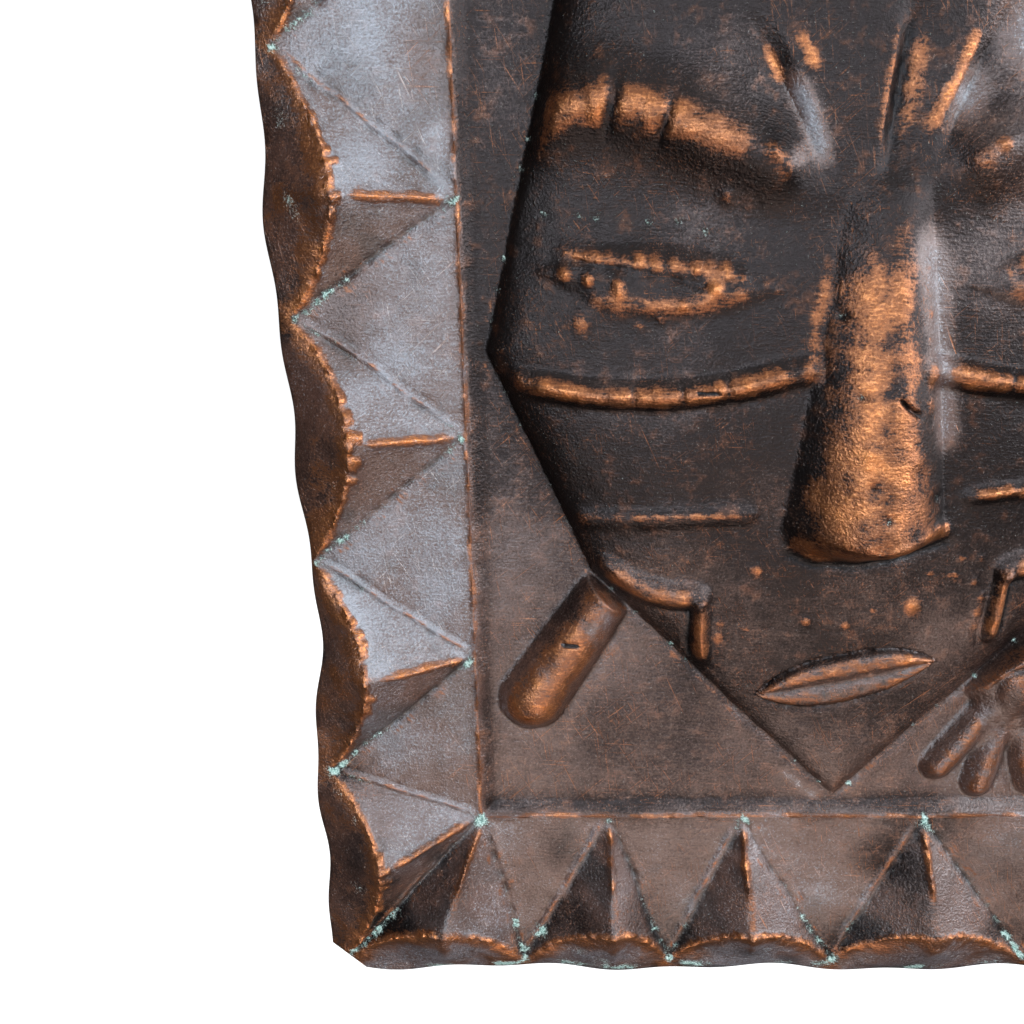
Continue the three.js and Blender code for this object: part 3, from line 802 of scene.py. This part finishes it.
def chase_drops():
    outside = inset < -1
    for drop in DROPS:
        axis, radii, _ = drop
        distance, along, side = near(axis)
        down = along / length_of(axis)
        radius = mix(*radii, down)
        rim = distance - radius
        layers["rise"] -= 0.3 * hump(rim - 0.4, 0.8) * outside
        layers["dark"] += 0.15 * hump(rim - 0.2, 0.8) * outside
        if drop is PLAIN_DROP:
            on_top = (1 - ease(0.4, 1, distance / radius)) * outside
            layers["worn"] += 0.5 * on_top * ease(0.1, 0.5, down)
            # Painted sheen on the right side of the plain drop's upper part.
            layers["pale"] += 0.4 * on_top * (side > 0) * (1 - ease(0.2, 0.6, down))
    # Painted highlight on the bulb's upper right.
    dot(50, 50, 7, pale=1.1)
    dot(45, 38, 4.5, worn=0.45)
    axis = PLAIN_DROP[0]
    for shift, high in ((8.6, 0.3), (9.7, 0.2), (10.9, 0.2)):
        line(axis, 0.4, 6, seed=63, shift=shift, fade=4, rise=high, worn=0.32, pale=0.1)
    line([(-76.5, 36), (-76, 28), (-71, 22.5), (-64, 21.5)], 1.8, fade=8, pale=0.3, rise=0.3)
    line([(-62.8, 45), (-58.4, 45.4)], 0.4, fade=0.8, rise=-0.8, dark=2, worn=-1)
    for x, z, radius in ((-66, 39, 2.2), (-60.5, 35, 1.8), (-70, 29, 2), (-56, 49, 1.4)):
        dot(x, z, radius, rise=-0.35, worn=-0.2)


def chase_unevenness():
    """Dents and unevenness that planishing left, most of it on the skirt."""
    layers["rise"] += 0.22 * noise(16, 81) + 0.05 * noise(4.5, 82)
    layers["rise"] += skirt * (0.3 * noise(9, 83) + 0.08 * noise(3, 84))
    layers["worn"] += skirt * np.clip(0.1 + 0.1 * noise(5, 85), 0, 1)
    layers["green"] += 0.42 * skirt * ease(1.3, 2.4, noise(5, 86, (1, 1.5)))
    layers["dark"] += skirt * np.clip(0.25 * noise(7, 87), 0, 1)


chase_border()
chase_outline()
chase_brow()
chase_eye()
chase_cheeks()
chase_nose()
chase_furrows()
chase_mouth()
chase_lower_face()
chase_drops()
chase_unevenness()

height = relief() + layers["rise"] * ease(0, 3, to_edge)
height = np.clip(height, 0, None)
height[~inside_edge(0)] = 0

# What is high gets rubbed bright. What is low gets darker: dirt left in the hollows, and painted
# shade.
bulge = height - blur(height, 2)
layers["worn"] += 0.35 * ease(0.12, 0.7, bulge)
layers["dark"] += 0.35 * ease(0.2, 1, -bulge)
low_ground = (1 - ease(5, 50, Z)) * ease(0, 4, margin)
layers["worn"] += 0.12 * low_ground * ease(-0.3, 1.2, noise(7, 88, (1, 0.5)))
worn = np.clip(layers["worn"] * (1 + 0.22 * noise(2.2, 91)) - 0.04, 0, 1)
green = np.clip(layers["green"] * (0.8 + 0.5 * noise(1.6, 92)), 0, 1)


def patina_and_painted_light():
    """How light the patina is: near black in the mask, brown on the ground and lighter towards its
    bottom, pale on the border. It holds painted light too: a painted sheen on the upper right of
    the face, teeth lit on one face and shaded on the other, and the paling mark's painted
    highlights, sheen and shade.
    """
    # The lower face is lighter. The upper right of the face gets a painted sheen.
    on_mask = 0.2 * (1 - ease(40, 85, Z)) + 0.26 * ease(8, 30, X) * ease(70, 150, Z)
    on_ground = 0.05 + 0.28 * (1 - ease(60, 140, Z))
    # Paler towards the top: partly painted light, partly a browner patina below. Painted light and
    # shade: each tooth's first face darker, its second lighter.
    on_teeth = mix(0.48, 0.88, ease(-5, 60, Z)) + np.choose(facing.astype(int) + 1, (-0.1, 0, 0.08))
    on_teeth += 0.12 * noise(11, 94) + 0.05 * noise(4, 95)
    on_border = mix(on_teeth, np.where(on_side, 0.42, 0.8), skirt)
    zones = np.where(margin < 0, on_border, np.where(inset > 0, on_mask, on_ground))
    return blur(zones, 1.2) + 0.06 * noise(18, 93) + layers["pale"]


light = patina_and_painted_light()
# Smudges of dirt at random on the border, and painted shade on each tooth's first face. The
# darkening mark adds them to the dirt in the chased lines and the painted shade in hollows.
smudges_and_shaded_faces = 0.4 * np.clip(noise(8, 96) + 0.5 * noise(3, 97), 0, 1) + 0.26 * (facing < 0)
dark = np.clip(layers["dark"] + (margin < 0) * (1 - skirt) * smudges_and_shaded_faces, 0, 1)

# ---- the mesh

RING_STEP = 0.9  # between points on the sheet's edge
FRONT_SPARE, BACK_SPARE = 0.35, 0.8  # how far the points inside stay from it
# Points on each corner cut. They are strung backwards, so the rim's faces overlap on the cuts.
CORNER_SHARES = (0.75, 0.5, 0.25)
FINE, PLAIN = 0.06, 0.16  # how far the mesh may stray; plain where the photograph doesn't reach
SLACK = {2: 2, 4: 1.2}  # times more in blocks of so many cells, which cost the most triangles
MARK_SLACK = {"worn": 6, "green": 7, "light": 5, "dark": 9}
BACK_SLACK, BACK_STRAY = 3, 0.25  # the reverse strays more, up to a limit
BACK_MARKS = {"worn": 0.1, "green": 0, "dark": 0, "light": 0.32}  # an even brown patina
BACK_BLUR = 0.9  # the reverse is softer than the front
STEEPEST = 2  # the most that a slope sets the reverse back, in thicknesses
THINNEST = 0.6
SHARP_ANGLE = radians(70)
INSIDE = 0.01  # how far the sheet stays inside the solid's box
DEEPEST = -cad_box[0][1] / MM - INSIDE


def blocks(field, size):
    """The field cut into square blocks of size x size cells."""
    return field[:-1, :-1].reshape(ROWS // size, size, COLUMNS // size, size)


def straightness(field, size):
    """How far the field strays in each block from the patch through its corners."""
    corner = field[::size, ::size]
    share = np.arange(size) / size
    a, b = share[None, :, None, None], share[None, None, None, :]
    low = corner[:-1, None, :-1, None] * (1 - b) + corner[:-1, None, 1:, None] * b
    high = corner[1:, None, :-1, None] * (1 - b) + corner[1:, None, 1:, None] * b
    return np.abs(blocks(field, size) - (low * (1 - a) + high * a)).max(axis=(1, 3))


def widened(flags):
    """The flags and their neighbours."""
    out = flags.copy()
    out[1:] |= flags[:-1]
    out[:-1] |= flags[1:]
    out[:, 1:] |= out[:, :-1].copy()
    out[:, :-1] |= out[:, 1:].copy()
    return out


def halved(flags):
    """Whether any of the four cells in each double cell is set."""
    rows, columns = flags.shape
    return flags.reshape(rows // 2, 2, columns // 2, 2).any(axis=(1, 3))


def chosen_points(field, tolerance, finest=1):
    """Grid points to use: dense where the field bends."""
    keep = np.zeros(X.shape, bool)
    keep[::BLOCK, ::BLOCK] = True
    split = None
    size = 2 * finest
    plans = []
    while size <= BLOCK:
        allowed = SLACK.get(size, 1) * blocks(tolerance, size).min(axis=(1, 3))
        bend = straightness(field, size) > allowed
        split = bend if split is None else bend | halved(widened(split))
        plans.append((size, split))
        size *= 2
    for size, split in plans:
        half = size // 2
        inner = np.repeat(np.repeat(split, 2, 0), 2, 1)
        grid = keep[::half, ::half]
        for dz in (0, 1):
            for dx in (0, 1):
                grid[dz : dz + inner.shape[0], dx : dx + inner.shape[1]] |= inner
    return keep


def sheet_ring():
    """The sheet's edge, anticlockwise as seen from the front."""
    tall = PANEL_TALL / 2 + END_BORDER - CORNER_CUT
    wide = PANEL_HALF + SIDE_BORDER - CORNER_CUT
    up = np.linspace(-tall, tall, round(2 * tall / RING_STEP)) + PANEL_TALL / 2
    across = np.linspace(-wide, wide, round(2 * wide / RING_STEP))
    side, end = PANEL_HALF + SIDE_ROW.edge(up), END_ROW.edge(across)
    legs = [
        np.column_stack([across, -end]),
        np.column_stack([side, up]),
        np.column_stack([across, PANEL_TALL + end])[::-1],
        np.column_stack([-side, up])[::-1],
    ]
    ring = []
    for leg, after in zip(legs, legs[1:] + legs[:1]):
        ring += [tuple(p) for p in leg]
        ring += [tuple(mix(leg[-1], after[0], share)) for share in CORNER_SHARES]
    low, high = (np.array([limit[0], limit[2]]) / MM + (0, MOUNT_UP) for limit in cad_box)
    return np.clip(ring, low + INSIDE, high - INSIDE)


def sampled(field, places):
    """The field at places between grid points."""
    i = np.clip((places[:, 0] - LEFT) / CELL, 0, COLUMNS - 1e-6)
    k = np.clip((places[:, 1] - LOW) / CELL, 0, ROWS - 1e-6)
    i0, k0 = i.astype(int), k.astype(int)
    a, b = i - i0, k - k0
    low = field[k0, i0] * (1 - a) + field[k0, i0 + 1] * a
    high = field[k0 + 1, i0] * (1 - a) + field[k0 + 1, i0 + 1] * a
    return low * (1 - b) + high * b


def triangulated(ring, keep, spare):
    """Points (the ring first) and triangles of the sheet seen from the front."""
    inner = keep & inside_edge(spare)
    points = np.concatenate([ring, np.column_stack([X[inner], Z[inner]])])
    edges = [(i, (i + 1) % len(ring)) for i in range(len(ring))]
    inside_only, merge = 1, 1e-5
    flat = [Vector(p) for p in points.tolist()]
    made = geometry.delaunay_2d_cdt(flat, edges, [], inside_only, merge)
    return np.array([tuple(p) for p in made[0]]), np.array(made[2])


def placed(places, high):
    """Places on the sheet and their heights, in the part's frame."""
    return np.column_stack([places[:, 0], -high, places[:, 1] - MOUNT_UP]) * MM


def plaque_mesh(tolerance, marks):
    """The sheet's front, reverse and rim, with the marks on its points."""
    ring = sheet_ring()
    keep = chosen_points(height, tolerance)
    for name, slack in MARK_SLACK.items():
        keep |= chosen_points(marks[name], slack * tolerance)
    front, faces = triangulated(ring, keep, FRONT_SPARE)

    back_height = blur(height, BACK_BLUR)
    keep = chosen_points(back_height, np.minimum(BACK_SLACK * tolerance, BACK_STRAY), finest=2)
    back, back_faces = triangulated(ring, keep, BACK_SPARE)
    gz, gx = np.gradient(back_height, CELL)
    slant = np.minimum(np.sqrt(1 + gx**2 + gz**2), STEEPEST)
    reverse = np.minimum(SHEET + back_height - SHEET * slant, SHEET + height - THINNEST)

    front_high = np.minimum(SHEET + sampled(height, front), DEEPEST)
    back_high = np.maximum(0, sampled(reverse, back))
    count, start = len(ring), len(front)
    front_high[:count], back_high[:count] = SHEET, 0
    vertices = np.concatenate([placed(front, front_high), placed(back, back_high)])
    turned = back_faces[:, ::-1] + start
    i = np.arange(count)
    j = (i + 1) % count
    rim = [np.column_stack([i, i + start, j + start]), np.column_stack([i, j + start, j])]
    mesh = bpy.data.meshes.new("copper_sheet")
    mesh.from_pydata(vertices.tolist(), [], np.concatenate([faces, turned, *rim]).tolist())
    for name, field in marks.items():
        data = mesh.attributes.new(name, "FLOAT", "POINT").data
        values = sampled(field, np.concatenate([front, back]))
        values[start:] = BACK_MARKS[name]
        data.foreach_set("value", values.astype(np.float32))
    mesh.shade_smooth()
    mesh.set_sharp_from_angle(angle=SHARP_ANGLE)
    return mesh


unseen = (X > 56) | (Z > 182)
marks = {"worn": worn, "green": green, "dark": dark, "light": light}
sheet = add_object("copper_sheet", plaque_mesh(np.where(unseen, PLAIN, FINE), marks))
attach(sheet, "root")
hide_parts("copper_plaque")


# ---- the copper: dark patina, bright where it is rubbed, verdigris in the chased lines, and painted shade, highlights and sheen from the marks


class Graph:
    """A new material's nodes. A value is either another node's socket or a constant."""

    def __init__(self, name):
        self.material = bpy.data.materials.new(name)
        self.material.use_nodes = True
        tree = self.material.node_tree
        self.nodes, self.links = tree.nodes, tree.links

    def finish(self, inputs):
        for name, value in inputs.items():
            self.feed(self.nodes["Principled BSDF"].inputs[name], value)
        return self.material

    def feed(self, socket, value):
        if isinstance(value, bpy.types.NodeSocket):
            self.links.new(value, socket)
        else:
            socket.default_value = value

    def node(self, kind, inputs, **settings):
        node = self.nodes.new("ShaderNode" + kind)
        for name, value in settings.items():
            setattr(node, name, value)
        for name, value in inputs.items():
            self.feed(node.inputs[name], value)
        return node

    def math(self, operation, *values):
        return self.node("Math", dict(enumerate(values)), operation=operation).outputs[0]

    def times(self, *values):
        return reduce(partial(self.math, "MULTIPLY"), values)

    def plus(self, *values):
        return reduce(partial(self.math, "ADD"), values)

    def most(self, *values):
        return reduce(partial(self.math, "MAXIMUM"), values)

    def swing(self, noise, strength):
        """Noise times a strength, moved so that its middle is 0."""
        return self.math("MULTIPLY_ADD", noise, strength, -strength / 2)

    def blend(self, factor, a, b):
        node = self.node("Mix", {"Factor": factor}, data_type="RGBA")
        self.feed(node.inputs["A"], a)
        self.feed(node.inputs["B"], b)
        return node.outputs["Result"]

    def step(self, value, low, high, to_low=0, to_high=1):
        """From to_low to to_high, smoothly, as the value goes from low to high."""
        inputs = {"Value": value, "From Min": low, "From Max": high, "To Min": to_low}
        inputs["To Max"] = to_high
        return self.node("MapRange", inputs, interpolation_type="SMOOTHSTEP").outputs[0]

    def mark(self, name):
        return self.node("Attribute", {}, attribute_name=name).outputs["Fac"]

    def grain(self, place, size, stretch=(1, 1, 1), turn=0, detail=2, roughness=0.6):
        """Noise whose features are about `size` mm, `stretch` times as long along each axis."""
        scale = [size * MM * s for s in stretch]
        inputs = {"Vector": place, "Rotation": (0, radians(turn), 0), "Scale": scale}
        mapped = self.node("Mapping", inputs, vector_type="TEXTURE")
        inputs = {"Vector": mapped.outputs[0], "Scale": 1, "Detail": detail, "Roughness": roughness}
        return self.node("TexNoise", inputs).outputs["Fac"]

    def hairs(self, place, *kinds):
        """Thin straight scratches. For each kind: size, angle, and how few, up to 1."""
        streaks = [(self.grain(place, size, (44, 1, 1), turn, 1), few) for size, turn, few in kinds]
        return self.most(*[self.step(streak, few, few + 0.14) for streak, few in streaks])


PATINA_BLACK = (0.018, 0.012, 0.011, 1)
PATINA_BROWN = (0.088, 0.036, 0.022, 1)
# Pale patina tinted blue: a painted reflection of the bluish windows.
PALE_PATINA_AND_SHEEN = (0.235, 0.232, 0.25, 1)
HALF_WORN = (0.24, 0.085, 0.034, 1)
COPPER = (0.46, 0.155, 0.05, 1)
COPPER_PALE = (0.6, 0.23, 0.085, 1)
HAIR_PALE = (0.6, 0.5, 0.46, 1)
# Near black, for dirt and for painted shade.
SOOT_AND_SHADE = (0.006, 0.006, 0.007, 1)
VERDIGRIS = (0.17, 0.33, 0.27, 1)
VERDIGRIS_PALE = (0.5, 0.62, 0.55, 1)
METAL_IOR = 1.85
BUMP_DEEP = 0.16 * MM


def copper():
    g = Graph("patinated_copper")
    place = g.node("TexCoord", {}).outputs["Object"]
    speck = g.grain(place, 0.5, roughness=0.8)
    mottle = g.grain(place, 4, detail=3, roughness=0.7)
    cloud = g.grain(place, 26)
    brushed = g.grain(place, 0.5, stretch=(7, 1, 1), turn=4, detail=1)
    worn, green, dark, light = (g.mark(name) for name in ("worn", "green", "dark", "light"))

    # Scratches lie in patches and show more where the patina is light.
    hairs = g.hairs(place, (0.25, 3, 0.64), (0.28, 83, 0.63), (0.3, 58, 0.64), (0.27, -41, 0.64))
    patches = g.step(g.grain(place, 14), 0.4, 0.6)
    broken = g.step(speck, 0.4, 0.56, 0.2, 1)
    fine = g.times(hairs, patches, g.step(light, 0, 0.45, 0.4, 1), broken)
    hairs = g.hairs(place, (0.42, 66, 0.69), (0.4, -38, 0.7))
    patches = g.step(g.grain(place, 30), 0.42, 0.56)
    bold = g.times(hairs, patches, g.step(light, 0, 0.35, 0.25, 1))
    scratches = g.most(fine, bold)

    # Wear comes off in specks and brush strokes rather than evenly.
    rough = g.plus(g.times(speck, 0.5), g.times(brushed, 0.5))
    uneven_worn = g.plus(worn, g.swing(rough, 1.8), g.swing(mottle, 1.5))
    some_wear = g.times(g.step(worn, 0.02, 0.35), g.step(uneven_worn, 0.02, 0.5))
    some_wear = g.most(some_wear, g.step(mottle, 0.53, 0.75, 0, 0.3))
    full_wear = g.step(uneven_worn, 0.4, 1.3)

    # The patina goes from black through brown to a bluish pale grey, in clouds and speckles.
    # Through the light mark it also takes the painted light: sheen, lit and shaded faces, and
    # painted shade.
    tone = g.plus(light, g.swing(cloud, 0.5), g.swing(brushed, 0.2))
    for noise, strength in ((speck, 0.5), (mottle, 0.3)):
        centred = g.math("SUBTRACT", noise, 0.5)
        tone = g.plus(tone, g.times(centred, g.step(light, 0.35, 0.8, strength, 2.4 * strength)))
    patina = g.blend(g.step(tone, 0, 0.6), PATINA_BLACK, PATINA_BROWN)
    tone = g.plus(tone, g.times(g.step(speck, 0.57, 0.7, 0, 0.35), g.step(light, 0.2, 0.7)))
    patina = g.blend(g.step(tone, 0.5, 1.4), patina, PALE_PATINA_AND_SHEEN)

    colour = g.blend(g.times(some_wear, 0.8), patina, HALF_WORN)
    bright = g.blend(g.step(rough, 0.45, 0.62), COPPER, COPPER_PALE)
    colour = g.blend(full_wear, colour, bright)
    hair = g.blend(g.step(light, 0.5, 0.8), COPPER, HAIR_PALE)
    colour = g.blend(g.times(scratches, 0.8), colour, hair)
    # Painted shade and dirt: where the darkening mark is high and the copper unworn, the colour
    # goes near black.
    soot_and_shade = g.times(g.step(dark, 0, 1), g.step(full_wear, 1, 0.2), 0.8)
    colour = g.blend(soot_and_shade, colour, SOOT_AND_SHADE)
    crust = g.step(g.plus(green, g.swing(speck, 1.8)), 0.25, 0.95)
    verdigris = g.blend(g.step(speck, 0.4, 0.62), VERDIGRIS, VERDIGRIS_PALE)
    colour = g.blend(crust, colour, verdigris)

    metal = g.most(full_wear, g.times(some_wear, 0.7), g.step(tone, 0, 0.55, 0.86, 0.12))
    metal = g.times(metal, g.math("SUBTRACT", 1, crust))
    gloss = g.step(g.plus(rough, g.times(cloud, 0.4)), 0.4, 1, 0.44, 0.28)
    gloss = g.plus(gloss, g.times(crust, 0.4))
    depths = ((speck, 0.8), (brushed, 0.5), (mottle, 1.2), (scratches, -0.5), (crust, 1.2))
    bumps = g.plus(*[g.times(part, depth) for part, depth in depths])
    normal = g.node("Bump", {"Strength": 1, "Distance": BUMP_DEEP, "Height": bumps}).outputs[0]

    inputs = {"Base Color": colour, "Metallic": metal, "Roughness": gloss, "Normal": normal}
    return g.finish({**inputs, "IOR": METAL_IOR})


sheet.data.materials.append(copper())

# ---- the room: a pale floor that sweeps up behind, soft lights and the camera, in metres

FLOOR_PROFILE = [(0.01, -0.75), (2.2, -0.75), (2.7, -0.6), (3, -0.2), (3.05, 0.4), (3.05, 4)]
TURNS = 48  # corners of the round floor
FLOOR_GREY, FLOOR_GLOW = (0.3, 0.3, 0.3, 1), 0.95


def stage_room():
    """A round floor that sweeps up into a wall. It glows, to be pale from every side."""
    angles = [2 * pi * i / TURNS for i in range(TURNS)]
    ring = [(np.cos(angle), np.sin(angle)) for angle in angles]
    vertices = [(r * c, r * s, z) for r, z in FLOOR_PROFILE for c, s in ring]
    faces = [list(range(TURNS))[::-1]]
    for low in range(0, len(vertices) - TURNS, TURNS):
        high = low + TURNS
        for i in range(TURNS):
            j = (i + 1) % TURNS
            faces.append([low + i, low + j, high + j, high + i])
    mesh = bpy.data.meshes.new("floor")
    mesh.from_pydata(vertices, [], faces)
    mesh.shade_smooth()
    glow = {"Emission Color": (1, 1, 1, 1), "Emission Strength": FLOOR_GLOW}
    looks = {"Base Color": FLOOR_GREY, "Roughness": 0.9, **glow}
    mesh.materials.append(Graph("pale_floor").finish(looks))
    floor = add_object("floor", mesh)
    floor.visible_glossy = floor.visible_diffuse = False


def lamp(name, place, target, size, power, colour):
    data = bpy.data.lights.new(name, "AREA")
    data.shape = "RECTANGLE"
    data.size, data.size_y = size
    data.energy = power
    data.color = colour
    made = add_object(name, data)
    made.location = place
    made.rotation_euler = (Vector(target) - Vector(place)).to_track_quat("-Z", "Y").to_euler()


stage_room()
lamp("left_window", (-0.43, -1.4, 0), (-0.06, 0, -0.08), (0.42, 0.9), 14, (0.76, 0.88, 1))
lamp("right_window", (1.12, -1.0, 0.35), (0, 0, -0.08), (2.0, 1.2), 40, (0.8, 0.9, 1))
lamp("low_right", (1.4, -0.35, -0.15), (0, 0, -0.25), (0.7, 0.6), 7, (0.95, 0.96, 1))
lamp("skylight", (-0.05, -0.5, 1.3), (0, 0, -0.12), (1.4, 0.7), 6, (0.95, 0.98, 1))
lamp("table_glow", (0.1, -0.95, -1.05), (0, 0, -0.24), (1.1, 0.6), 7, (1, 0.85, 0.76))
lamp("rear_fill", (-0.6, 1.3, 0.7), (0, 0, -0.1), (1.5, 1.2), 26, (1, 1, 1))
lamp("rear_low", (1.2, 1.2, -0.2), (0, 0, -0.1), (1.2, 1.2), 12, (1, 1, 1))

world = bpy.data.worlds.new("studio")
world.use_nodes = True
backdrop = world.node_tree.nodes["Background"].inputs
backdrop["Color"].default_value = (0.8, 0.8, 0.82, 1)
backdrop["Strength"].default_value = 0.05
scene.world = world
scene.view_settings.view_transform = "Standard"

# The camera looks a little down and to the left, from close by.
CAMERA_AT = (-61.9, -227.9, 141.5)  # in mm, z from the panel's bottom line
CAMERA_TURN, CAMERA_DIP, CAMERA_ROLL = radians(2.75), radians(-16.4), radians(1.73)
CAMERA_LENS = 38
camera = add_object("camera", bpy.data.cameras.new("camera"))
camera.data.lens = CAMERA_LENS
camera.data.clip_start = 10 * MM
x, y, z = CAMERA_AT
camera.matrix_world = (
    Matrix.Translation(Vector((x, y, z - MOUNT_UP)) * MM)
    @ Matrix.Rotation(CAMERA_TURN, 4, "Z")
    @ Matrix.Rotation(CAMERA_DIP, 4, "X")
    @ Matrix.Rotation(CAMERA_ROLL, 4, "Y")
    @ Matrix.Rotation(pi / 2, 4, "X")
)
bpy.context.scene.camera = camera
